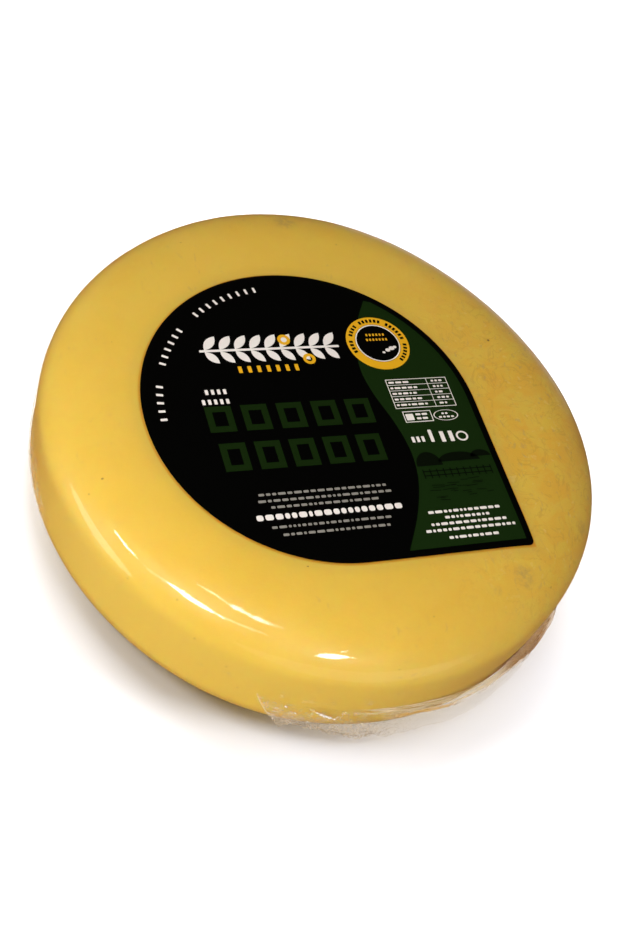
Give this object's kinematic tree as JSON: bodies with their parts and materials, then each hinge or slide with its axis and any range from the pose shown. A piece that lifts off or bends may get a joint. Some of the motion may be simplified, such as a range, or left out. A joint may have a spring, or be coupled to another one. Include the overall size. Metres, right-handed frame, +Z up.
{
  "type": "kashar cheese wheel",
  "caption": "Whole round wheel of yellow kashar cheese with soft shoulders, sealed in clear glossy film with a loose pleated end, and a flat drop-shaped label on top.",
  "frame": {"origin": "on the wheel's axis, in the middle of its flat base", "axes": "+Z up, towards the label; +X is the way the label reads"},
  "size_m": [0.1622, 0.1646, 0.0484],
  "materials": {
    "cheese": "smooth yellow cheese under tight, clear, glossy film",
    "film": "clear, thin, crinkled shrink film",
    "label": "printed satin label, near black with a dark green field"
  },
  "bodies": {
    "root": {"cheese_wheel": "cheese", "film_seal": "film", "label": "label"}
  },
  "joints": []
}
